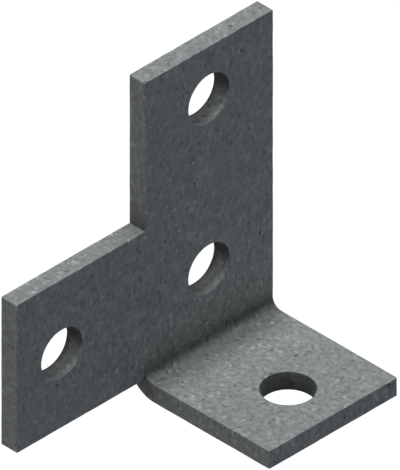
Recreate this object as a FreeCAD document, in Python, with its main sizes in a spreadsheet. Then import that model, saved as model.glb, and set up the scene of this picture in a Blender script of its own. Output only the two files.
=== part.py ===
import FreeCAD, Part
import math
import os
import Sketcher
from FreeCAD import Vector

# A strut angle fitting: one piece of steel plate with three arms, each as wide as the strut
# that it bolts to. The upright and the wing beside it lie in one flat, and the flange is
# folded forwards from the upright's foot. Four holes take the bolts: one in the corner
# where the two flat arms cross and one near the end of each arm.
#
# Frame, in millimetres: the origin is the centre of the flange's hole on the underside.
# The upright stands along +Z, the wing reaches along -X and the flange along -Y.

NODE = "strut_angle_fitting"

# Name, value in millimetres and meaning of every size that can be set by itself.
SIZES = [
    ("arm_width", 41, "width of every arm, as the strut's face"),
    ("plate_thickness", 5, "thickness of the plate"),
    ("bend_inside_radius", 2.75, "radius on the inside of the fold"),
    ("hole_diameter", 13, "clearance hole for an M12 bolt"),
    ("hole_pitch", 47, "from the corner hole to the holes of the upright and the wing"),
    ("end_margin", 14.5, "from the last hole of an arm to the arm's end"),
    ("flange_hole_setback", 25.25, "from the upright's front face to the flange's hole"),
    ("edge_round", 0.3, "rounding of the cut edges under their zinc coat"),
    ("mouth_chamfer", 0.3, "break of the edge at both mouths of a hole"),
]

# Places that follow from those sizes, as expressions over the sheet.
HALF_WIDTH = "sizes.arm_width / 2"
THICKNESS = "sizes.plate_thickness"
HOLE_RADIUS = "sizes.hole_diameter / 2"
HOLE_PITCH = "sizes.hole_pitch"
INSIDE_RADIUS = "sizes.bend_inside_radius"
FOLD_LINE = f"{THICKNESS} + {INSIDE_RADIUS}"
FLANGE_TIP = "sizes.end_margin"
FRONT_FACE = "sizes.flange_hole_setback"
BACK_FACE = f"{FRONT_FACE} + {THICKNESS}"
ARM_REACH = f"{HOLE_PITCH} + sizes.end_margin"
CORNER_HOLE = f"{THICKNESS} + {HALF_WIDTH}"
UPRIGHT_TOP = f"{CORNER_HOLE} + {ARM_REACH}"
WING_TOP = f"{THICKNESS} + sizes.arm_width"

# A sketch's origin and its two axes, and the places on a side where it is held.
ORIGIN = (-1, 1)
U_AXIS, V_AXIS = -1, -2
START, END, CENTRE = range(1, 4)

# Smallest angle between two faces that counts as a sharp edge, how far beside an edge the
# material is probed to tell an outer edge from an inner corner, what counts as touching, and
# the share by which a drilled volume may differ from the holes' own.
SHARP_ANGLE = math.radians(5)
PROBE = 0.02
TOUCH = 1e-4
VOLUME_SHARE = 1e-3


def make_sheet(doc):
    """The sheet that drives every size of the fitting."""
    sheet = doc.addObject("Spreadsheet::Sheet", "sizes")
    for row, (name, value, meaning) in enumerate(SIZES, start=1):
        sheet.set(f"A{row}", name)
        sheet.set(f"B{row}", str(value))
        sheet.set(f"C{row}", meaning)
        sheet.setAlias(f"B{row}", name)
    doc.recompute()


def sketch_on(body, role, name, offset):
    """An empty sketch parallel to one of the body's origin planes, moved along its normal."""
    sketch = body.newObject("Sketcher::SketchObject", name)
    plane = next(p for p in body.Origin.OriginFeatures if p.Role == role)
    sketch.AttachmentSupport = (plane, "")
    sketch.MapMode = "FlatFace"
    sketch.setExpression("AttachmentOffset.Base.z", offset)
    return sketch


def read(sketch, *sizes):
    """The present values of some sizes, for a first drawing that the sheet then holds."""
    return (float(sketch.evalExpression(size)) for size in sizes)


def dimension(sketch, name, kind, start, end, length):
    """A named distance from one point of the sketch to another, bound to the sheet."""
    (value,) = read(sketch, length)
    index = sketch.addConstraint(Sketcher.Constraint(kind, *start, *end, value))
    sketch.renameConstraint(index, name)
    sketch.setExpression(f"Constraints.{name}", length)


def line(sketch, start, end):
    """A straight side between two points."""
    return sketch.addGeometry(Part.LineSegment(Vector(*start, 0), Vector(*end, 0)), False)


def quarter_arc(sketch, centre, radius):
    """The lower right quarter of a circle, from straight below its centre to its right."""
    circle = Part.Circle(Vector(*centre, 0), Vector(0, 0, 1), radius)
    return sketch.addGeometry(Part.ArcOfCircle(circle, -math.pi / 2, 0), False)


def hold_level(sketch, *sides):
    """Keep the sides parallel to the sketch's first axis."""
    for side in sides:
        sketch.addConstraint(Sketcher.Constraint("Horizontal", side))


def hold_upright(sketch, *sides):
    """Keep the sides parallel to the sketch's second axis."""
    for side in sides:
        sketch.addConstraint(Sketcher.Constraint("Vertical", side))


def join(sketch, kind, *corners):
    """Tie the end of each side to the start or end of the next one, with a sharp corner
    or, for a tangent, with a smooth passage."""
    for first, first_end, second, second_end in corners:
        sketch.addConstraint(Sketcher.Constraint(kind, first, first_end, second, second_end))


def draw_fold_section(sketch):
    """The section of flange and upright: two straight legs of one thickness, joined by a
    quarter turn whose inside and outside share a centre."""
    thick, inside, fold, tip, front, back, top = read(
        sketch, THICKNESS, INSIDE_RADIUS, FOLD_LINE, FLANGE_TIP, FRONT_FACE, BACK_FACE, UPRIGHT_TOP)
    centre = (front - inside, fold)

    underside = line(sketch, (-tip, 0), (centre[0], 0))
    outer_turn = quarter_arc(sketch, centre, inside + thick)
    back_side = line(sketch, (back, fold), (back, top))
    top_end = line(sketch, (back, top), (front, top))
    front_side = line(sketch, (front, top), (front, fold))
    inner_turn = quarter_arc(sketch, centre, inside)
    upper_side = line(sketch, (centre[0], thick), (-tip, thick))
    tip_end = line(sketch, (-tip, thick), (-tip, 0))

    join(sketch, "Tangent",
         (underside, END, outer_turn, START),
         (outer_turn, END, back_side, START),
         (front_side, END, inner_turn, END),
         (inner_turn, START, upper_side, START))
    join(sketch, "Coincident",
         (back_side, END, top_end, START),
         (top_end, END, front_side, START),
         (upper_side, END, tip_end, START),
         (tip_end, END, underside, START),
         (outer_turn, CENTRE, inner_turn, CENTRE))
    hold_level(sketch, underside, top_end, upper_side)
    hold_upright(sketch, back_side, front_side, tip_end)
    sketch.addConstraint(Sketcher.Constraint("PointOnObject", underside, START, U_AXIS))

    dimension(sketch, "thickness", "DistanceX", (top_end, END), (top_end, START), THICKNESS)
    dimension(sketch, "inside_radius", "DistanceY", (inner_turn, START), (inner_turn, CENTRE),
              INSIDE_RADIUS)
    dimension(sketch, "tip", "DistanceX", (underside, START), ORIGIN, FLANGE_TIP)
    dimension(sketch, "front_face", "DistanceX", ORIGIN, (front_side, START), FRONT_FACE)
    dimension(sketch, "top", "DistanceY", ORIGIN, (back_side, END), UPRIGHT_TOP)


def draw_wing_outline(sketch):
    """The wing's outline. Its lower edge is level with the flange's upper side and stops at
    the upright's side, because the fold begins beside it. Above the fold line the wing
    runs on to the upright's middle, so that the two arms make one flat."""
    thick, half, fold, reach, top = read(
        sketch, THICKNESS, HALF_WIDTH, FOLD_LINE, ARM_REACH, WING_TOP)
    corners = [(-reach, thick), (-half, thick), (-half, fold), (0, fold), (0, top), (-reach, top)]
    sides = [line(sketch, start, end) for start, end in zip(corners, corners[1:] + corners[:1])]
    lower, step, fold_side, seam, upper, end = sides

    join(sketch, "Coincident", *((a, END, b, START) for a, b in zip(sides, sides[1:] + sides[:1])))
    hold_level(sketch, lower, fold_side, upper)
    hold_upright(sketch, step, seam, end)
    sketch.addConstraint(Sketcher.Constraint("PointOnObject", seam, START, V_AXIS))

    dimension(sketch, "reach", "DistanceX", (end, START), ORIGIN, ARM_REACH)
    dimension(sketch, "half_width", "DistanceX", (step, START), ORIGIN, HALF_WIDTH)
    dimension(sketch, "lower_edge", "DistanceY", ORIGIN, (lower, START), THICKNESS)
    dimension(sketch, "fold_line", "DistanceY", ORIGIN, (fold_side, START), FOLD_LINE)
    dimension(sketch, "upper_edge", "DistanceY", ORIGIN, (upper, START), WING_TOP)


def pad(body, sketch, length, side_type="One side"):
    """A solid as long as the sheet says, carried along the sketch's normal."""
    feature = body.newObject("PartDesign::Pad", f"{sketch.Name}_pad")
    feature.Profile = sketch
    feature.SideType = side_type
    feature.setExpression("Length", length)


def outer_sharp_edges(shape):
    """Index and edge of every sharp edge that points out of the material."""
    for index, edge in enumerate(shape.Edges, start=1):
        faces = shape.ancestorsOfType(edge, Part.Face)
        if len(faces) != 2:
            continue
        middle = edge.valueAt((edge.FirstParameter + edge.LastParameter) / 2)
        first, second = (face.normalAt(*face.Surface.parameter(middle)) for face in faces)
        sharp = first.getAngle(second) > SHARP_ANGLE
        beside = middle + (first - second) * PROBE
        if sharp and not shape.isInside(beside, TOUCH, True):
            yield index, edge


def dress_edges(body, kind, name, chosen):
    """A fillet or chamfer on those sharp outer edges of the body for which chosen says yes."""
    base = body.Tip
    edges = [f"Edge{index}" for index, edge in outer_sharp_edges(base.Shape) if chosen(edge)]
    feature = body.newObject(f"PartDesign::{kind}", name)
    feature.Base = (base, edges)
    return feature


def round_edges(body, name, chosen):
    """The soft edge that shearing and the zinc coat leave all round an outline."""
    feature = dress_edges(body, "Fillet", name, chosen)
    feature.setExpression("Radius", "sizes.edge_round")


def break_mouths(body, name):
    """The small chamfer at both ends of every hole."""
    feature = dress_edges(body, "Chamfer", name, lambda edge: edge.isClosed())
    feature.setExpression("Size", "sizes.mouth_chamfer")


def make_strip(doc):
    """The upright and the flange: one strip of plate, folded at its foot."""
    body = doc.addObject("PartDesign::Body", NODE)
    body.Label = NODE
    section = sketch_on(body, "YZ_Plane", "fold_section", "0")
    draw_fold_section(section)
    pad(body, section, "sizes.arm_width", side_type="Symmetric")
    doc.recompute()
    round_edges(body, "strip_edges", lambda edge: True)
    doc.recompute()
    return body


def make_wing(doc):
    """The wing, with the rounding on those of its edges that lie beside the upright."""
    body = doc.addObject("PartDesign::Body", "wing")
    outline = sketch_on(body, "XZ_Plane", "wing_outline", f"-({BACK_FACE})")
    draw_wing_outline(outline)
    pad(body, outline, THICKNESS)
    doc.recompute()
    (half,) = read(outline, HALF_WIDTH)
    round_edges(body, "wing_edges", lambda edge: edge.BoundBox.XMin < -half - TOUCH)
    doc.recompute()
    return body


def join_wing(doc, body, wing):
    """Make the wing one with the strip."""
    union = body.newObject("PartDesign::Boolean", "one_plate")
    union.Type = "Fuse"
    union.setObjects([wing])
    doc.recompute()


def draw_holes(sketch, centres):
    """Equal circles for bolt holes. The first one gives the diameter."""
    (radius,) = read(sketch, HOLE_RADIUS)
    circles = [
        sketch.addGeometry(Part.Circle(Vector(*centre, 0), Vector(0, 0, 1), radius), False)
        for centre in centres
    ]
    first = sketch.addConstraint(Sketcher.Constraint("Radius", circles[0], radius))
    sketch.renameConstraint(first, "hole_radius")
    sketch.setExpression("Constraints.hole_radius", HOLE_RADIUS)
    for other in circles[1:]:
        sketch.addConstraint(Sketcher.Constraint("Equal", circles[0], other))
    return circles


def draw_plate_holes(sketch):
    """The corner hole in the middle of the crossing arms, the upright's hole straight above
    it and the wing's hole level with it, each one pitch away."""
    height, pitch = read(sketch, CORNER_HOLE, HOLE_PITCH)
    corner, above, beside = draw_holes(sketch, [(0, height), (0, height + pitch), (-pitch, height)])
    for hole in (corner, above):
        sketch.addConstraint(Sketcher.Constraint("PointOnObject", hole, CENTRE, V_AXIS))
    sketch.addConstraint(Sketcher.Constraint("Horizontal", beside, CENTRE, corner, CENTRE))
    dimension(sketch, "corner_height", "DistanceY", ORIGIN, (corner, CENTRE), CORNER_HOLE)
    dimension(sketch, "pitch_up", "DistanceY", (corner, CENTRE), (above, CENTRE), HOLE_PITCH)
    dimension(sketch, "pitch_across", "DistanceX", (beside, CENTRE), (corner, CENTRE), HOLE_PITCH)


def draw_flange_hole(sketch):
    """The flange's hole, on the origin."""
    (hole,) = draw_holes(sketch, [(0, 0)])
    sketch.addConstraint(Sketcher.Constraint("Coincident", hole, CENTRE, *ORIGIN))


def drill(doc, body, sketch):
    """Bolt holes right through the arm that lies behind the sketch."""
    solid_volume = body.Shape.Volume
    holes = body.newObject("PartDesign::Hole", f"{sketch.Name}_drilled")
    holes.Profile = sketch
    holes.DepthType = "ThroughAll"
    holes.DrillPoint = "Flat"
    holes.setExpression("Diameter", "sizes.hole_diameter")
    doc.recompute()
    radius, thick = read(sketch, HOLE_RADIUS, THICKNESS)
    expected = sketch.GeometryCount * math.pi * radius**2 * thick
    if abs(solid_volume - body.Shape.Volume - expected) > VOLUME_SHARE * expected:
        raise RuntimeError(f"{sketch.Name} did not go right through the plate")


def drill_arms(doc, body):
    """The four bolt holes, with their mouths broken."""
    plate_holes = sketch_on(body, "XZ_Plane", "plate_holes", f"-({FRONT_FACE})")
    draw_plate_holes(plate_holes)
    flange_hole = sketch_on(body, "XY_Plane", "flange_hole", THICKNESS)
    draw_flange_hole(flange_hole)
    doc.recompute()
    drill(doc, body, plate_holes)
    drill(doc, body, flange_hole)
    break_mouths(body, "hole_mouths")
    doc.recompute()


def check(doc, body):
    """Stop before anything is written if a step failed or the fitting isn't one solid."""
    for item in doc.Objects:
        if "Invalid" in item.State or "Error" in item.State:
            raise RuntimeError(f"{item.Name} is {item.State}")
        if item.TypeId == "Sketcher::SketchObject" and not item.FullyConstrained:
            raise RuntimeError(f"{item.Name} is not fully held by its sizes")
    shape = body.Shape
    if shape.isNull() or not shape.isValid() or len(shape.Solids) != 1:
        raise RuntimeError(f"{body.Label} is not one sound solid")


def main():
    doc = FreeCAD.newDocument(NODE)
    make_sheet(doc)
    body = make_strip(doc)
    join_wing(doc, body, make_wing(doc))
    drill_arms(doc, body)
    check(doc, body)
    os.makedirs("parts", exist_ok=True)
    body.Shape.exportStep(f"parts/{body.Label}.step")
    box = body.Shape.optimalBoundingBox()
    print(f"{body.Label}: {box.XLength:.2f} x {box.YLength:.2f} x {box.ZLength:.2f} mm, "
          f"{body.Shape.Volume / 1000:.2f} cm3, {len(body.Shape.Faces)} faces")


main()
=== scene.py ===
# %% [markdown]
# # A strut angle fitting, dressed
# The real object is one piece of steel plate, 5 mm thick. A press punches its outline and its
# four bolt holes and folds it once, and a bath of hot zinc gives it a grey, mottled skin.
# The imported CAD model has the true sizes. It could be shown as it is, with a better material,
# but its faces are a few large flats with nothing in them. So this notebook makes the plate
# again as fine surfaces of the same size, which can carry soft edges and the faint unevenness
# of the zinc, and then gives it its finish, its light and its camera.

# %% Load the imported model
import math

import bmesh
import bpy
import numpy as np
from mathutils import Matrix, Vector


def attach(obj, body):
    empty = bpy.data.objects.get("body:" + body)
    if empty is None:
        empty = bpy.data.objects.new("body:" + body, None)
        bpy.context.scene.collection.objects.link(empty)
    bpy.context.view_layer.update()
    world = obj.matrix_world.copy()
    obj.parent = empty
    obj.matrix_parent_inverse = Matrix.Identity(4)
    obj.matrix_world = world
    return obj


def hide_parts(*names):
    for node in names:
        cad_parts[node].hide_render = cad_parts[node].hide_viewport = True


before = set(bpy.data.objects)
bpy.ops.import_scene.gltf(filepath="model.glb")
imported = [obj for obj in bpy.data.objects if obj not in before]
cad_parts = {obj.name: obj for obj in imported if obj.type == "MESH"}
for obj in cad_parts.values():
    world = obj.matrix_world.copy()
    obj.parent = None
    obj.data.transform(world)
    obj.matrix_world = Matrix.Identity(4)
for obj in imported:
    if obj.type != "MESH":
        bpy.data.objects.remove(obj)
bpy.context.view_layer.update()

MM_PER_M = 1000
CM3_PER_M3 = 1e6


# %% [markdown]
# ## Sizes
# The sizes are those of the CAD source, in millimetres. The origin is the centre of the
# flange's hole on the underside. The upright stands along +Z, the wing reaches along -X and
# the flange along -Y. Every place on the fitting follows from these few numbers.

# %% Sizes of the plate
ARM_WIDTH = 41.0
PLATE = 5.0
INSIDE_RADIUS = 2.75
HOLE_RADIUS = 6.5
HOLE_PITCH = 47.0
END_MARGIN = 14.5
SETBACK = 25.25
EDGE_ROUND = 0.15

HALF = ARM_WIDTH / 2
FOLD_LINE = PLATE + INSIDE_RADIUS
CORNER_HOLE = PLATE + HALF
UPRIGHT_TOP = CORNER_HOLE + HOLE_PITCH + END_MARGIN
WING_TOP = PLATE + ARM_WIDTH
WING_END = -(HOLE_PITCH + END_MARGIN)
UPRIGHT_HOLES = {
    "corner": (0, CORNER_HOLE),
    "upright": (0, CORNER_HOLE + HOLE_PITCH),
    "wing": (-HOLE_PITCH, CORNER_HOLE),
}
print("upright top", UPRIGHT_TOP, "wing top", WING_TOP, "wing end", WING_END)

# %% [markdown]
# ## The fold
# A press brake bends the flat blank round a rounded bar. The fold could be made with a Simple
# Deform modifier, but it is clearer to say where each point of the flat blank goes. Such a
# point has a place across the plate, a place along it, measured from the flange's tip, and a
# depth under the side that ends up inside the fold. The middle of the plate keeps its length,
# so the fold uses up a quarter turn of the middle's radius.

# %% From the blank to the folded plate
FOLD_START = END_MARGIN + SETBACK - INSIDE_RADIUS
FOLD_LENGTH = math.pi / 2 * (INSIDE_RADIUS + PLATE / 2)
FOLD_END = FOLD_START + FOLD_LENGTH


def on_blank(height):
    """The place along the blank of a height on the upright: the end of the fold, plus the
    height above the fold line."""
    return FOLD_END + height - FOLD_LINE


def folded(across, along, depth, bent=True):
    """Where points of the blank end up. The turn grows evenly from nothing to a quarter along
    the fold. A point lies on a circle round the fold's centre, whose radius is the inside
    radius plus the point's depth, pushed back by what lies before the fold and up by what
    lies after it. A point that isn't bent has the quarter turn everywhere, as the wing's foot
    does beside the fold."""
    across, along, depth, bent = np.broadcast_arrays(across, along, depth, bent)
    turn = np.where(bent, np.clip((along - FOLD_START) / FOLD_LENGTH, 0, 1), 1) * math.pi / 2
    before = np.where(bent, np.minimum(along - FOLD_START, 0), 0)
    after = np.where(bent, np.maximum(along - FOLD_END, 0), along - FOLD_END)
    radius = INSIDE_RADIUS + depth
    y = SETBACK - INSIDE_RADIUS + radius * np.sin(turn) + before
    z = FOLD_LINE - radius * np.cos(turn) + after
    return np.stack([across, y, z], axis=-1)


print("length of the blank in mm:", round(on_blank(UPRIGHT_TOP), 2))

# %% [markdown]
# ## The outline
# The punch cuts the outline with crisp corners. Beside the fold the wing is cut free of the
# strip, or it would tear, and the cut opens by a hair as the flange goes down. The outline
# could be a bare list of corners. Here it is a row of samples, walked to the left, because
# each sample also says which way is inwards and how far the edge is rounded. The rim and both
# broad sides are drawn from the same samples, so they meet without a gap. Two more samples
# lie close beside that of the inner corner, so that the shading turns there at once.

# %% Samples of the outline
CORNER_ROUND = 0.4
CUT_OPENING = 0.08
LEAST_ROUND = 0.03
BESIDE = 0.04
STEP = 0.64
CORNER_STEPS = 4
FOLD_STEPS = 24
CUT_STEPS = 6


def samples(across, along, inward, rounding=EDGE_ROUND, bent=True):
    """One row for each sample: across, along, inwards across, inwards along, rounding, bent."""
    columns = np.broadcast_arrays(across, along, inward[0], inward[1], rounding, bent)
    return np.stack(columns, axis=-1).astype(float).reshape(-1, 6)


def between(start, end, steps):
    """Evenly spaced places from start to end, without these two."""
    start, end = np.array(start, float), np.array(end, float)
    return start + (end - start) * np.arange(1, steps)[:, None] / steps


def side(start, end, inward, bent=True):
    """Samples on a straight side, one for each step of its length, without its ends."""
    place = between(start, end, round(math.dist(start, end) / STEP))
    return samples(place[:, 0], place[:, 1], inward, bent=bent)


def corner(tip, outward, bent=True):
    """Samples on the quarter circle that rounds a corner. Its centre lies one radius inwards
    of the tip both ways, and inwards is towards that centre."""
    centre = np.array(tip) - CORNER_ROUND * np.array(outward)
    middle = math.atan2(outward[1], outward[0])
    angle = middle + np.linspace(-0.25, 0.25, CORNER_STEPS + 1) * math.pi
    way = np.stack([np.cos(angle), np.sin(angle)])
    place = centre[:, None] + CORNER_ROUND * way
    return samples(place[0], place[1], -way, bent=bent)


# %% The whole outline, walked to the left round the plate
top, wing_high, wing_low = (on_blank(z) for z in (UPRIGHT_TOP, WING_TOP, PLATE))
trim = CORNER_ROUND

# One sample on the right lies level with the place where the inner corner's rounding ends.
level = wing_high - EDGE_ROUND

# Towards the end of the cut both of its edges lose nearly all their rounding: the wing's all
# along the cut, and the fold's in the last third of the fold.
cut_foot = -HALF - CUT_OPENING
fold_places = np.linspace(FOLD_START, FOLD_END, FOLD_STEPS + 1)
before_end = np.clip((FOLD_END - fold_places) / (FOLD_LENGTH / 3), 0, 1)
fold_round = LEAST_ROUND + (EDGE_ROUND - LEAST_ROUND) * before_end
cut_places = between((cut_foot, wing_low + CORNER_ROUND), (-HALF, FOLD_END), CUT_STEPS)
cut_round = between((EDGE_ROUND,), (LEAST_ROUND,), CUT_STEPS)[:, 0]

outline = {
    "tip_left": corner((-HALF, 0), (-1, -1)),
    "tip": side((-HALF + trim, 0), (HALF - trim, 0), (0, 1)),
    "tip_right": corner((HALF, 0), (1, -1)),
    "flange_right": side((HALF, trim), (HALF, FOLD_START), (-1, 0)),
    "fold_right": samples(HALF, fold_places, (-1, 0)),
    "lower_right": side((HALF, FOLD_END), (HALF, level), (-1, 0)),
    "level_right": samples(HALF, level, (-1, 0)),
    "upper_right": side((HALF, level), (HALF, top - trim), (-1, 0)),
    "top_right": corner((HALF, top), (1, 1)),
    "top": side((HALF - trim, top), (-HALF + trim, top), (0, -1)),
    "top_left": corner((-HALF, top), (-1, 1)),
    "upper_left": side((-HALF, top - trim), (-HALF, wing_high), (1, 0)),
    "over_corner": samples(-HALF, wing_high + BESIDE, (1, 0)),
    "inner_corner": samples(-HALF, wing_high, (1, -1)),
    "beside_corner": samples(-HALF - BESIDE, wing_high, (0, -1)),
    "wing_top": side((-HALF, wing_high), (WING_END + trim, wing_high), (0, -1)),
    "wing_top_corner": corner((WING_END, wing_high), (-1, 1)),
    "wing_end": side((WING_END, wing_high - trim), (WING_END, wing_low + trim), (1, 0),
                     bent=False),
    "wing_foot_corner": corner((WING_END, wing_low), (-1, -1), bent=False),
    "wing_foot": side((WING_END + trim, wing_low), (cut_foot - trim, wing_low), (0, 1),
                      bent=False),
    "cut_corner": corner((cut_foot, wing_low), (1, -1), bent=False),
    "cut": samples(cut_places[:, 0], cut_places[:, 1], (-1, 0), cut_round, bent=False),
    "cut_end": samples(-HALF, FOLD_END, (0, 1), LEAST_ROUND),
    "fold_left": samples(-HALF, fold_places[-2::-1], (1, 0), fold_round[-2::-1]),
    "flange_left": side((-HALF, FOLD_START), (-HALF, trim), (1, 0)),
}
print("samples on the outline:", sum(len(rows) for rows in outline.values()))

# %% [markdown]
# ## The rim
# Shearing and the zinc coat leave the edge of the plate square, with corners that are only
# just soft. A Bevel modifier could round it, but it would also round the cut beside the fold,
# where there is no room for it. So a section is carried round the outline: a quarter circle
# in from the front side, a straight wall, and a quarter circle out to the back side.

# %% The section of a rounded edge
ROUND_STEPS = 4
WALL_STEPS = 5


def edge_section(front, back):
    """How far inwards and how deep the points of the section lie. On the front's quarter
    circle, inwards is the rounding less its sine's share and the depth is the rounding less
    its cosine's share. The back's is its mirror image, with its own rounding. The wall
    between them lies at no distance inwards."""
    turn = np.linspace(0, math.pi / 2, ROUND_STEPS + 1)
    share = np.arange(1, WALL_STEPS) / WALL_STEPS
    front, back = (np.asarray(rounding, float)[..., None] for rounding in (front, back))
    wall = front + (PLATE - front - back) * share
    inwards = [front * (1 - np.sin(turn)), 0 * wall, back * (1 - np.cos(turn))]
    depth = [front * (1 - np.cos(turn)), wall, PLATE - back * (1 - np.sin(turn))]
    return np.concatenate(inwards, axis=-1), np.concatenate(depth, axis=-1)


def make_rim():
    """The section at each sample of the outline, moved inwards along the sample's own way,
    and then folded. The first sample comes again at the end and closes the rim."""
    rows = np.concatenate(list(outline.values()))
    rows = np.concatenate([rows, rows[:1]])
    inwards, depth = edge_section(rows[:, 4], rows[:, 4])
    across = rows[:, 0, None] + inwards * rows[:, 2, None]
    along = rows[:, 1, None] + inwards * rows[:, 3, None]
    return folded(across, along, depth, rows[:, 5, None] > 0)


rim = make_rim()
print("rim grid:", rim.shape[:2])

# %% [markdown]
# ## Broad sides and bolt holes
# Each arm is a flat with one punched hole. A plain grid can't carry a round hole, and a cut
# with a Boolean leaves long thin faces round it. So each arm is a tile of rays, from the
# mouth of its hole out to its border. Two tiles that meet have the same border points. The
# same rays give the front side, the back side and the wall of the hole. A punch rolls the
# hole's mouth over where it goes in and leaves it nearly sharp where it comes out.

# %% Borders of the four tiles
ACROSS_STEPS = 64
SEAM_STEPS = 60
EASE_LENGTH = 0.6


def inset(*names):
    """Where the rounding ends on the broad side: each sample, moved inwards by its rounding."""
    rows = np.concatenate([outline[name] for name in names])
    return rows[:, :2] + rows[:, 2:4] * rows[:, 4:5]


def upright_hole(name):
    """Where the centre of one of the upright holes lies on the blank."""
    across, height = UPRIGHT_HOLES[name]
    return across, on_blank(height)


start_left, start_right = inset("fold_left")[-1], inset("fold_right")[0]
end_left, end_right = inset("cut_end")[0], inset("fold_right")[-1]
level_left, level_right = inset("inner_corner")[0], inset("level_right")[0]

# The seam between the strip and the wing starts where the cut ends. It moves across to the
# inner corner's line over a short length, and from there it runs straight up.
seam = between(end_left, level_left, SEAM_STEPS)
ease = np.clip((seam[:, 1] - end_left[1]) / EASE_LENGTH, 0, 1)
seam[:, 0] = end_left[0] + (level_left[0] - end_left[0]) * ease
row_start = between(start_right, start_left, ACROSS_STEPS)
row_end = between(end_left, end_right, ACROSS_STEPS)
row_level = between(level_right, level_left, ACROSS_STEPS)

tiles = {
    "flange": (
        (0, END_MARGIN),
        [inset("tip_left", "tip", "tip_right", "flange_right"), [start_right], row_start,
         [start_left], inset("flange_left")]),
    "corner": (
        upright_hole("corner"),
        [[end_left], row_end, [end_right], inset("lower_right"), [level_right], row_level,
         [level_left], seam[::-1]]),
    "upright": (
        upright_hole("upright"),
        [[level_left], row_level[::-1], [level_right],
         inset("upper_right", "top_right", "top", "top_left", "upper_left", "over_corner")]),
    "wing": (
        upright_hole("wing"),
        [inset("wing_foot_corner", "wing_foot", "cut_corner", "cut"), [end_left], seam,
         [level_left], inset("beside_corner", "wing_top", "wing_top_corner", "wing_end")]),
}
for name, (hole, parts) in tiles.items():
    print(name, "tile:", sum(len(part) for part in parts), "rays")

# %% Surfaces of a tile
RAY_STEPS = 24
EXIT_ROUND = 0.05


def make_tile(hole, parts, bent):
    """Front side, back side and hole wall of a tile. A ray leaves the hole's mouth towards a
    border point, and the points on it are evenly spaced. The wall carries the edge's section
    round the hole, and there inwards means away from the hole's centre."""
    border = np.concatenate([np.asarray(part, float) for part in parts])
    border = np.concatenate([border, border[:1]])
    hole = np.array(hole, float)
    way = border - hole
    way /= np.linalg.norm(way, axis=1, keepdims=True)
    share = np.linspace(0, 1, RAY_STEPS + 1)[:, None]
    sides = []
    for rounding, side_depth in ((EDGE_ROUND, 0), (EXIT_ROUND, PLATE)):
        mouth = hole + way * (HOLE_RADIUS + rounding)
        flat = mouth[:, None] + (border - mouth)[:, None] * share
        sides.append(folded(flat[..., 0], flat[..., 1], side_depth, bent))
    inwards, depth = edge_section(EDGE_ROUND, EXIT_ROUND)
    ring = hole + way[:, None] * (HOLE_RADIUS + inwards)[:, None]
    return *sides, folded(ring[..., 0], ring[..., 1], depth, bent)


def make_fold(depth):
    """The bent stretch at one depth: rows from the left inset point to the right one, evenly
    spaced across, for each step of the turn."""
    left = np.concatenate([inset("fold_left")[::-1], [end_left]])
    right = inset("fold_right")
    share = np.linspace(0, 1, ACROSS_STEPS + 1)[:, None]
    flat = left[:, None] + (right - left)[:, None] * share
    return folded(flat[..., 0], flat[..., 1], depth)


# A surface is turned over where its rows and columns would make it face into the steel.
surfaces = [(rim, True), (make_fold(0), True), (make_fold(PLATE), False)]
for name, (hole, parts) in tiles.items():
    front, back, wall = make_tile(hole, parts, bent=name != "wing")
    surfaces += [(front, True), (back, False), (wall, False)]
print("surfaces:", len(surfaces), "points:", sum(grid.size // 3 for grid, _ in surfaces))

# %% [markdown]
# ## One closed shell
# The surfaces share their border points, but each has its own copy of them. Merging the
# copies sews the shell together. It is closed if each edge then has two faces, and the
# volume inside it should be that of the steel in the CAD model.

# %% Sew the surfaces together
MERGE = 0.001


def quads(grid, turned, first):
    """Faces of a grid: each point with its neighbours in the next row and column. The grid's
    first point has the number first."""
    rows, columns = grid.shape[:2]
    number = first + np.arange(rows * columns).reshape(rows, columns)
    faces = np.stack([number[:-1, :-1], number[1:, :-1], number[1:, 1:], number[:-1, 1:]], -1)
    faces = faces.reshape(-1, 4)
    return faces[:, ::-1] if turned else faces


def sew(surfaces):
    """A mesh in metres with the grids of all surfaces, merged where they meet."""
    points = [grid.reshape(-1, 3) / MM_PER_M for grid, _ in surfaces]
    firsts = np.cumsum([0] + [len(part) for part in points])
    faces = [quads(grid, turned, first) for (grid, turned), first in zip(surfaces, firsts)]
    mesh = bpy.data.meshes.new("galvanised_plate")
    mesh.from_pydata(np.concatenate(points).tolist(), [], np.concatenate(faces).tolist())
    shell = bmesh.new()
    shell.from_mesh(mesh)
    bmesh.ops.remove_doubles(shell, verts=shell.verts, dist=MERGE / MM_PER_M)
    open_edges = sum(not edge.is_manifold for edge in shell.edges)
    volume = shell.calc_volume(signed=True) * CM3_PER_M3
    shell.to_mesh(mesh)
    shell.free()
    print("open edges:", open_edges, "volume in cm3:", round(volume, 3))
    return mesh


plate_mesh = sew(surfaces)
print("faces:", len(plate_mesh.polygons), "vertices:", len(plate_mesh.vertices))

# %% [markdown]
# ## The skin of zinc
# Zinc freezes on the steel in a skin that is never quite even: it swells and dips by a few
# hundredths of a millimetre. A displacement texture could show that, but a sum of waves is
# a formula that anyone can read, and it needs no picture. The skin only ever dips inwards
# from the full size, so the fitting stays inside its measured box.

# %% Waves of the zinc skin
SKIN_DEPTH = 0.045
SKIN_SEED = 5
WAVES = 60
WAVE_LENGTHS = (2.6, 11.0)
SOFT_LIMIT = 0.8


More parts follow.
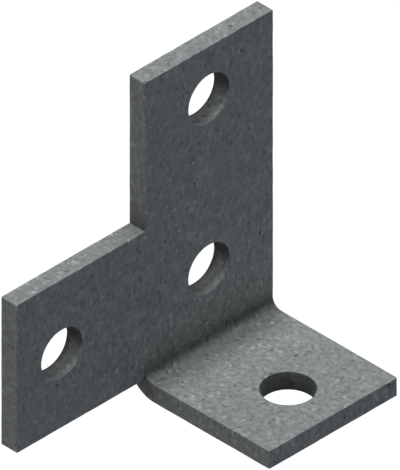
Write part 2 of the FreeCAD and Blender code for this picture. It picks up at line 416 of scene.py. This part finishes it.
def skin_dip(points):
    """How far the skin lies under the full size, in millimetres. It is the sum of cosine
    waves that run in all directions, each with its own length and phase. A wave's height
    grows with its length, and all are scaled so that the sum's spread is one. A soft limit
    keeps the dip between zero and the skin's depth."""
    draw = np.random.default_rng(SKIN_SEED)
    ways = draw.normal(size=(WAVES, 3))
    ways /= np.linalg.norm(ways, axis=1, keepdims=True)
    lengths = np.exp(draw.uniform(*np.log(WAVE_LENGTHS), WAVES))
    phases = draw.uniform(0, 2 * math.pi, WAVES)
    heights = lengths / np.sqrt((lengths**2).sum() / 2)
    total = np.cos(points @ (ways * 2 * math.pi / lengths[:, None]).T + phases) @ heights
    return SKIN_DEPTH / 2 * (1 - np.tanh(SOFT_LIMIT * total))


def vertex_normals(points, faces):
    """Each vertex's normal: the sum of its faces' normals, each as long as its face's area,
    which half the cross product of a quad's diagonals gives. Large flats outweigh the small
    faces of a rounding, so they stay flat to the eye."""
    area = np.cross(points[faces[:, 2]] - points[faces[:, 0]],
                    points[faces[:, 3]] - points[faces[:, 1]]) / 2
    normals = np.zeros_like(points)
    for column in faces.T:
        np.add.at(normals, column, area)
    return normals / np.linalg.norm(normals, axis=1, keepdims=True)


# %% Lay the skin on the plate
def places(mesh):
    """Where the vertices of a mesh are, in millimetres."""
    points = np.empty(len(mesh.vertices) * 3)
    mesh.vertices.foreach_get("co", points)
    return points.reshape(-1, 3) * MM_PER_M


def lay_skin(mesh):
    """Moves each vertex inwards along its normal by the skin's dip, and keeps the new normals
    for shading."""
    points = places(mesh)
    faces = np.empty(len(mesh.polygons) * 4, int)
    mesh.polygons.foreach_get("vertices", faces)
    faces = faces.reshape(-1, 4)
    dip = skin_dip(points)
    points = points - vertex_normals(points, faces) * dip[:, None]
    mesh.vertices.foreach_set("co", (points / MM_PER_M).ravel())
    mesh.shade_smooth()
    mesh.normals_split_custom_set_from_vertices(vertex_normals(points, faces))
    mesh.update()
    print("dip in mm:", round(dip.min(), 4), "to", round(dip.max(), 4))


lay_skin(plate_mesh)
plate = bpy.data.objects.new("galvanised_plate", plate_mesh)
bpy.context.scene.collection.objects.link(plate)
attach(plate, "root")
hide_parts("strut_angle_fitting")

# %% [markdown]
# ## The finish
# Hot-dip zinc on thick plate is matt and mid grey. Patches a millimetre or so across, a
# little lighter or darker, run all over it, and small soft spots lie scattered on them. A
# photograph of zinc could be wrapped round the part, but it would stretch at the fold.
# Patterns in space have no seams: they cut through the plate like grain through wood, so
# every face gets its own spots. They are drawn out a little upwards, as zinc runs when the
# part is lifted from its bath.

# %% Helpers for shader nodes
def add(tree, kind, sockets=None, **settings):
    """A new shader node with its settings, and its sockets filled with numbers or linked to
    other nodes' outputs."""
    made = tree.nodes.new("ShaderNode" + kind)
    for name, value in settings.items():
        setattr(made, name, value)
    for name, value in (sockets or {}).items():
        if isinstance(value, bpy.types.NodeSocket):
            tree.links.new(value, made.inputs[name])
        else:
            made.inputs[name].default_value = value
    return made


def maths(tree, operation, *values, clamp=False):
    """The result of a Math node."""
    sockets = dict(enumerate(values))
    return add(tree, "Math", sockets, operation=operation, use_clamp=clamp).outputs[0]


def ramp(tree, value, low, high, start=0.0, end=1.0):
    """A soft step: start where the value is at low, end where it is at high."""
    sockets = {"Value": value, "From Min": low, "From Max": high, "To Min": start, "To Max": end}
    return add(tree, "MapRange", sockets, interpolation_type="SMOOTHSTEP").outputs[0]


# %% Soft spots
SPOT_CORE = (0.08, 0.62)
SPOT_MIDDLE = 0.39
HALF_MEAN = (1 / 6, 1 / 6, 1 / 6)


def spots(tree, place, size, seed):
    """Soft spots scattered in space. Half the mean of a cell's three random numbers is its
    draw, and its light is the draw plus twice the draw squared. Its shade is the light less
    the middle of that. So most spots are faint, and the light ones stand out more than the
    dark ones. The shade is full near the cell's point and fades to nothing at a share of the
    cell's size."""
    moved = add(tree, "Mapping", {"Vector": place, "Location": (seed, -seed, 2 * seed)})
    cells = add(tree, "TexVoronoi", {"Vector": moved.outputs[0], "Scale": 1.0 / size})
    draw = add(tree, "VectorMath", {0: cells.outputs["Color"], 1: HALF_MEAN},
               operation="DOT_PRODUCT").outputs["Value"]
    light = maths(tree, "MULTIPLY_ADD", draw, maths(tree, "MULTIPLY", draw, 2.0), draw)
    core = ramp(tree, cells.outputs["Distance"], *SPOT_CORE, 1.0, 0.0)
    return maths(tree, "MULTIPLY", maths(tree, "SUBTRACT", light, SPOT_MIDDLE), core)


# %% Mottle of the open faces
START = (13.0, 5.0, 9.0)
STRETCH = (0.93, 1.05, 1.3)
PATCH_SIZE = 1.3
PATCHES = 1.0
WARP = 1.2
SPOT_SIZES = (1.25, 1.0)
SPOT_SEEDS = (3, 11)
AREA_SIZE = 2.6
AREA_RANGE = (0.35, 0.65)
SPOTS = (0.8, 2.1)


def mottle(tree):
    """The patches, and the whole shade of an open face. The shade is one, plus the patches
    about their middle, plus the spots of both sizes. The spots are faint in some areas and
    strong in others, as a slow noise says. The patches' colours also bend the space that the
    spots lie in, so that no spot is quite round."""
    coordinates = add(tree, "TexCoord").outputs["Object"]
    scale = tuple(MM_PER_M / stretch for stretch in STRETCH)
    place = add(tree, "Mapping", {"Vector": coordinates, "Location": START,
                                  "Scale": scale}).outputs[0]
    patches = add(tree, "TexNoise", {"Vector": place, "Scale": 1 / PATCH_SIZE})
    bend = add(tree, "VectorMath", {0: patches.outputs["Color"], "Scale": WARP},
               operation="SCALE").outputs[0]
    bent = add(tree, "VectorMath", {0: place, 1: bend}, operation="ADD").outputs[0]
    shade = maths(tree, "MULTIPLY_ADD", patches.outputs["Fac"], PATCHES, 1 - PATCHES / 2)
    areas = add(tree, "TexNoise", {"Vector": place, "Scale": 1 / AREA_SIZE}).outputs["Fac"]
    strength = ramp(tree, areas, *AREA_RANGE, *SPOTS)
    for seed, size in zip(SPOT_SEEDS, SPOT_SIZES):
        shade = maths(tree, "MULTIPLY_ADD", spots(tree, bent, size, seed), strength, shade)
    return patches.outputs["Fac"], shade


# %% [markdown]
# ## Painted shade
# The zinc's colour is painted darker where the plate closes in on itself: inside the fold, in
# the corners beside the wing and in the holes. This is painted shade. The Ambient Occlusion
# node finds such places by itself and gives them a broad, soft painted shade. It can't make
# the tight dark line in the fold, and it shades all walls of a hole alike. So a second
# painted shade is worked out for each vertex and kept in the mesh as an attribute, with
# painted light on the hole walls that face the light. A painted warmth, the warm tint of
# light bounced inside the holes, is kept there too. A painted shade below zero takes some of
# the broad shade away.

# %% Painted shade of the fold and of the corners beside the wing
FOLD_SHADE = 0.69
FOLD_SHADE_Y, FOLD_SHADE_Z = 25.1, 6.9
REACH_FORWARD, REACH_UP, REACH_DOWN = 2.2, 0.75, 2
RELIEF = 0.12
RELIEF_Y, RELIEF_REACH = 14, 6

# Painted shade on the strip's left side, under and over the wing.
UNDER_WING_SHADE = 0.50
UNDER_WING_Z, UNDER_WING_REACH = 2.5, 3
OVER_WING_SHADE = 0.30
OVER_WING_REACH = 7
ON_SIDE = 0.06


def fold_painted_shade(y, z):
    """Painted shade round the line where the fold meets the upright. It is full there and
    falls as one over one plus the distance squared. Distance is measured in reaches: one
    forwards and back, a short one going up and a longer one going down. On the flange a bell
    curve, the relief, is taken off, because the broad painted shade is too wide there."""
    forward, up = y - FOLD_SHADE_Y, z - FOLD_SHADE_Z
    far = (forward / REACH_FORWARD) ** 2 + np.where(up > 0, up / REACH_UP, up / REACH_DOWN) ** 2
    relief = RELIEF * np.exp(-(((y - RELIEF_Y) / RELIEF_REACH) ** 2))
    return FOLD_SHADE / (1 + far) - relief


def strip_painted_shade(x, y, z):
    """The fold's painted shade, and another painted shade on the strip's left side. Under the
    wing it takes the place of the fold's, and falls in the same way with the distance from a
    place below the wing's foot. Over the wing it falls with the height above the wing."""
    far = ((y - SETBACK) ** 2 + (z - UNDER_WING_Z) ** 2) / UNDER_WING_REACH**2
    under = UNDER_WING_SHADE / (1 + far)
    over = OVER_WING_SHADE / (1 + ((z - WING_TOP) / OVER_WING_REACH) ** 2)
    left = np.abs(x + HALF) < ON_SIDE
    painted_dark = np.where(left & (y < SETBACK) & (z < FOLD_LINE), under, fold_painted_shade(y, z))
    return painted_dark + np.where(left & (z > WING_TOP), over, 0)


# %% Painted shade, painted light and painted warmth of the holes
MOUTH_SHADE, EXIT_SHADE = 0.32, 0.72
DOWNWARD_SHADE = 1.6
MOST_SHADE = 0.95

LIGHT = 3.6
LIGHT_ASIDE, LIGHT_UP, LIGHT_EDGE = 0.44, 0.86, 0.42
LIGHT_POWER, SIDE_POWER = 1.7, 0.8

INSIDE_WARM, MOUTH_COLD = 0.8, 1.6
MOUTH_DEPTH = 1.2


def hole_painted_light_and_shade(across, height, depth, upright):
    """Painted shade on the wall of a hole, whose places are measured from its axis. It grows
    evenly from the mouth to the exit. Where the wall of an upright hole faces down, a
    multiple of the facing is added, up to a limit. Where it faces the light from the upper
    left, a painted light, a sine over the depth, is taken off. It is highest past the middle
    of the plate at the bottom of the hole, and before it at the side."""
    share = np.clip(depth / PLATE, 0, 1)
    aside, up = upright * across / HOLE_RADIUS, upright * height / HOLE_RADIUS
    painted_dark = MOUTH_SHADE + (EXIT_SHADE - MOUTH_SHADE) * share + DOWNWARD_SHADE * np.maximum(up, 0)
    facing_light = np.maximum(LIGHT_ASIDE * aside - LIGHT_UP * up - LIGHT_EDGE, 0)
    wave = np.sin(math.pi * share ** (LIGHT_POWER - SIDE_POWER * aside))
    return np.minimum(painted_dark, MOST_SHADE) - LIGHT * wave * facing_light


def hole_painted_warm_light(across, height, depth, upright):
    """How much warmer the zinc is painted on the wall of an upright hole, a painted warm tint of
    light bounced inside it: the same all through the plate, less a bell curve at the mouth."""
    return upright * (INSIDE_WARM - MOUTH_COLD * np.exp(-((depth / MOUTH_DEPTH) ** 2)))


# %% Keep both in the mesh
WALL_REACH = HOLE_RADIUS + EDGE_ROUND / 2
LEAST_DEPTH = -0.01
STRIP_LEFT = -HALF - 0.1
# Painted shade on the wing's top edge, beside the upright.
WING_TOP_SHADE = 0.06


def on_holes(kind, points):
    """A kind of value on the walls of all four holes, and nothing elsewhere. A wall counts
    out to the middle of its rounded mouth. The three upright holes are measured from the
    upright's front and the flange's hole from the flange's upper side."""
    x, y, z = points.T
    holes = [(x - across, z - height, y - SETBACK, 1) for across, height in UPRIGHT_HOLES.values()]
    holes.append((x, y, PLATE - z, 0))
    total = np.zeros(len(points))
    for across, height, depth, upright in holes:
        wall = (np.hypot(across, height) < WALL_REACH) & (depth > LEAST_DEPTH)
        total[wall] += kind(across[wall], height[wall], depth[wall], upright)
    return total


def painted_shade_and_light(points):
    """All the painted shade and painted light at each vertex. Left of the strip, only the wing's
    hole and its top edge count."""
    x, y, z = points.T
    wing_top = np.where(z > WING_TOP - ON_SIDE, WING_TOP_SHADE, 0)
    strip = np.where(x > STRIP_LEFT, strip_painted_shade(x, y, z), wing_top)
    return strip + on_holes(hole_painted_light_and_shade, points)


points = places(plate_mesh)
# Painted shade and light, and painted warmth, kept at each vertex.
values = {"painted_shade_and_light": painted_shade_and_light(points), "painted_warm_light": on_holes(hole_painted_warm_light, points)}
for name, value in values.items():
    plate_mesh.attributes.new(name, "FLOAT", "POINT").data.foreach_set("value", value)
    print(name, "from", round(value.min(), 3), "to", round(value.max(), 3))

# %% The whole finish
OPEN_ZINC = np.array([0.244, 0.268, 0.254])
# The colour of closed places: a painted warm tint of light bounced inside them.
CLOSED_ZINC_PAINTED_WARM = np.array([0.252, 0.267, 0.226])
CORNER_REACH = 0.012
CORNER_RAYS = 8
CORNER_SHARE = 0.9
PATCH_RANGE = (0.3, 0.7)
ROUGHNESS = (0.55, 0.70)
METALLIC = 0.05
SHEEN = 0.12
BUMP, BUMP_HEIGHT = 0.35, 0.00002


def openness(tree):
    """The open share of the space within reach of each place."""
    return add(tree, "AmbientOcclusion", {"Distance": CORNER_REACH}, samples=CORNER_RAYS,
               only_local=True).outputs["AO"]


def painted_brightness(tree, open_share):
    """How much of the zinc's shade a place keeps, a painted shade: its open share, which counts
    for nine tenths, times one less the vertex's painted shade and light."""
    broad = maths(tree, "MULTIPLY_ADD", open_share, CORNER_SHARE, 1 - CORNER_SHARE)
    painted_dark = add(tree, "Attribute", attribute_name="painted_shade_and_light").outputs["Fac"]
    return maths(tree, "MULTIPLY", broad, maths(tree, "SUBTRACT", 1.0, painted_dark))


def zinc_colour(tree, open_share, painted_warm_light):
    """The zinc's colour: that of closed places, plus its difference from that of open places
    times the open share less the vertex's painted warmth. Closed places are painted a little
    warmer, as a painted warm tint of light bounced inside them."""
    share = maths(tree, "SUBTRACT", open_share, painted_warm_light)
    change = add(tree, "VectorMath", {0: OPEN_ZINC - CLOSED_ZINC_PAINTED_WARM, "Scale": share},
                 operation="SCALE").outputs[0]
    return add(tree, "VectorMath", {0: CLOSED_ZINC_PAINTED_WARM, 1: change}, operation="ADD").outputs[0]


def make_zinc():
    """The galvanised finish. The zinc's colour is multiplied by the mottle's shade and by the
    painted brightness of closed places. Lighter patches are rougher, the painted warmth takes
    up to half of the sheen away, and the shade lifts the surface a little."""
    material = bpy.data.materials.new("galvanised_zinc")
    material.use_nodes = True
    tree = material.node_tree
    shader = tree.nodes["Principled BSDF"]
    patches, shade = mottle(tree)
    open_share = openness(tree)
    # Painted shade: the open share and the vertex attribute darken the colour.
    shade = maths(tree, "MULTIPLY", shade, painted_brightness(tree, open_share))
    painted_warm_light = add(tree, "Attribute", attribute_name="painted_warm_light").outputs["Fac"]
    colour = add(tree, "VectorMath", {0: zinc_colour(tree, open_share, painted_warm_light), "Scale": shade},
                 operation="SCALE").outputs[0]
    tree.links.new(colour, shader.inputs["Base Color"])
    # The painted warmth takes up to half of the sheen away.
    sheen = maths(tree, "MULTIPLY_ADD", painted_warm_light, -SHEEN / 2, SHEEN)
    tree.links.new(sheen, shader.inputs["Specular IOR Level"])
    rough = ramp(tree, patches, *PATCH_RANGE, *ROUGHNESS)
    tree.links.new(rough, shader.inputs["Roughness"])
    shader.inputs["Metallic"].default_value = METALLIC
    bump = add(tree, "Bump", {"Height": shade, "Strength": BUMP, "Distance": BUMP_HEIGHT})
    tree.links.new(bump.outputs[0], shader.inputs["Normal"])
    return material


zinc = make_zinc()
plate.data.materials.append(zinc)
print("nodes in the finish:", len(zinc.node_tree.nodes))

# %% [markdown]
# ## Floor and light
# The fitting is held by its bolt and stands on nothing, so the pale floor lies well below it
# and takes its shadow out of the picture. One large lamp hangs far overhead, a little to the
# front and the left, and a weak warm one stands far off on the left. The sky and the floor
# light the upright sides weakly and evenly. Rays that the camera sees straight or in a
# reflection find both white.

# %% Rays that see white
WHITE = (1.0, 1.0, 1.0)
FLOOR_DEPTH = -0.25
FLOOR_HALF = 4.0
FLOOR_BOUNCE = (0.09, 0.09, 0.105)
PALE = (0.5, 0.5, 0.5)
GLOW = 0.58


def seen(tree):
    """One for camera, glossy and transmission rays, otherwise nothing."""
    rays = add(tree, "LightPath").outputs
    total = maths(tree, "ADD", rays["Is Camera Ray"], rays["Is Glossy Ray"])
    return maths(tree, "ADD", total, rays["Is Transmission Ray"], clamp=True)


def make_floor():
    """A level square of pale floor. Seen, its own light and its colour add up to white where
    the lamp reaches it and to grey in the shadow. To the part it only gives a weak glow."""
    material = bpy.data.materials.new("pale_floor")
    material.use_nodes = True
    tree = material.node_tree
    tree.nodes.clear()
    weak = add(tree, "BsdfDiffuse", {"Color": (*FLOOR_BOUNCE, 1.0)})
    pale = add(tree, "BsdfDiffuse", {"Color": (*PALE, 1.0)})
    glow = add(tree, "Emission", {"Color": (*WHITE, 1.0), "Strength": GLOW})
    both = add(tree, "AddShader", {0: pale.outputs[0], 1: glow.outputs[0]})
    mix = add(tree, "MixShader", {0: seen(tree), 1: weak.outputs[0], 2: both.outputs[0]})
    add(tree, "OutputMaterial", {"Surface": mix.outputs[0]})
    size = FLOOR_HALF
    corners = [(-size, -size), (size, -size), (size, size), (-size, size)]
    mesh = bpy.data.meshes.new("floor")
    mesh.from_pydata([(x, y, FLOOR_DEPTH) for x, y in corners], [], [(0, 1, 2, 3)])
    mesh.materials.append(material)
    floor = bpy.data.objects.new("floor", mesh)
    bpy.context.scene.collection.objects.link(floor)
    return floor


make_floor()

# %% Sky
SKY_LIGHT = (0.200, 0.207, 0.255)


def make_sky():
    """A weak sky for the part, white for what the camera sees."""
    world = bpy.data.worlds.new("studio")
    world.use_nodes = True
    tree = world.node_tree
    tree.nodes.clear()
    weak = add(tree, "Background", {"Color": (*SKY_LIGHT, 1.0)})
    white = add(tree, "Background", {"Color": (*WHITE, 1.0)})
    mix = add(tree, "MixShader", {0: seen(tree), 1: weak.outputs[0], 2: white.outputs[0]})
    add(tree, "OutputWorld", {"Surface": mix.outputs[0]})
    bpy.context.scene.world = world


make_sky()

# %% Lamps
WARM = (1.0, 0.78, 0.74)


def make_lamp(name, way, distance, size, power, colour=WHITE):
    """A square lamp that lies a distance away along its way and faces the part."""
    light = bpy.data.lights.new(name, "AREA")
    light.size = size
    light.energy = power
    light.color = colour
    lamp = bpy.data.objects.new(name, light)
    way = Vector(way).normalized()
    lamp.location = way * distance
    lamp.rotation_euler = way.to_track_quat("Z", "Y").to_euler()
    bpy.context.scene.collection.objects.link(lamp)


make_lamp("overhead_lamp", way=(-0.09, -0.06, 1.0), distance=8.0, size=1.8, power=486.0)
make_lamp("warm_lamp", way=(-1.0, 0.05, 0.2), distance=3.0, size=1.2, power=6.5, colour=WARM)

# %% [markdown]
# ## Camera
# The photograph is a true isometric view: parallel lines stay parallel, and the three axes
# lie 120 degrees apart. So the camera is orthographic and looks along the diagonal of a cube,
# from the front, the left and above. Two marks set it: the picture's scale, from the width
# of the arms, and the point that lies in the middle of the frame.

# %% The isometric camera
PIXELS_PER_MM = 4.425
FRAME_HEIGHT = 470
MIDDLE = (1.73, 29.89, 31.61)
CAMERA_DISTANCE = 0.5
CAMERA_RANGE = (0.01, 20.0)


def make_camera():
    """An orthographic camera. Its picture is as high as the frame's pixels over the scale:
    Blender measures the ortho scale along the longer side."""
    data = bpy.data.cameras.new("camera")
    data.type = "ORTHO"
    data.ortho_scale = FRAME_HEIGHT / PIXELS_PER_MM / MM_PER_M
    data.clip_start, data.clip_end = CAMERA_RANGE
    camera = bpy.data.objects.new("camera", data)
    back = Vector((-1, -1, 1)).normalized()
    right = Vector((1, -1, 0)).normalized()
    turn = Matrix((right, back.cross(right), back)).transposed()
    place = Vector(MIDDLE) / MM_PER_M + back * CAMERA_DISTANCE
    camera.matrix_world = Matrix.Translation(place) @ turn.to_4x4()
    bpy.context.scene.collection.objects.link(camera)
    bpy.context.scene.camera = camera


make_camera()
bpy.context.scene.view_settings.view_transform = "Standard"
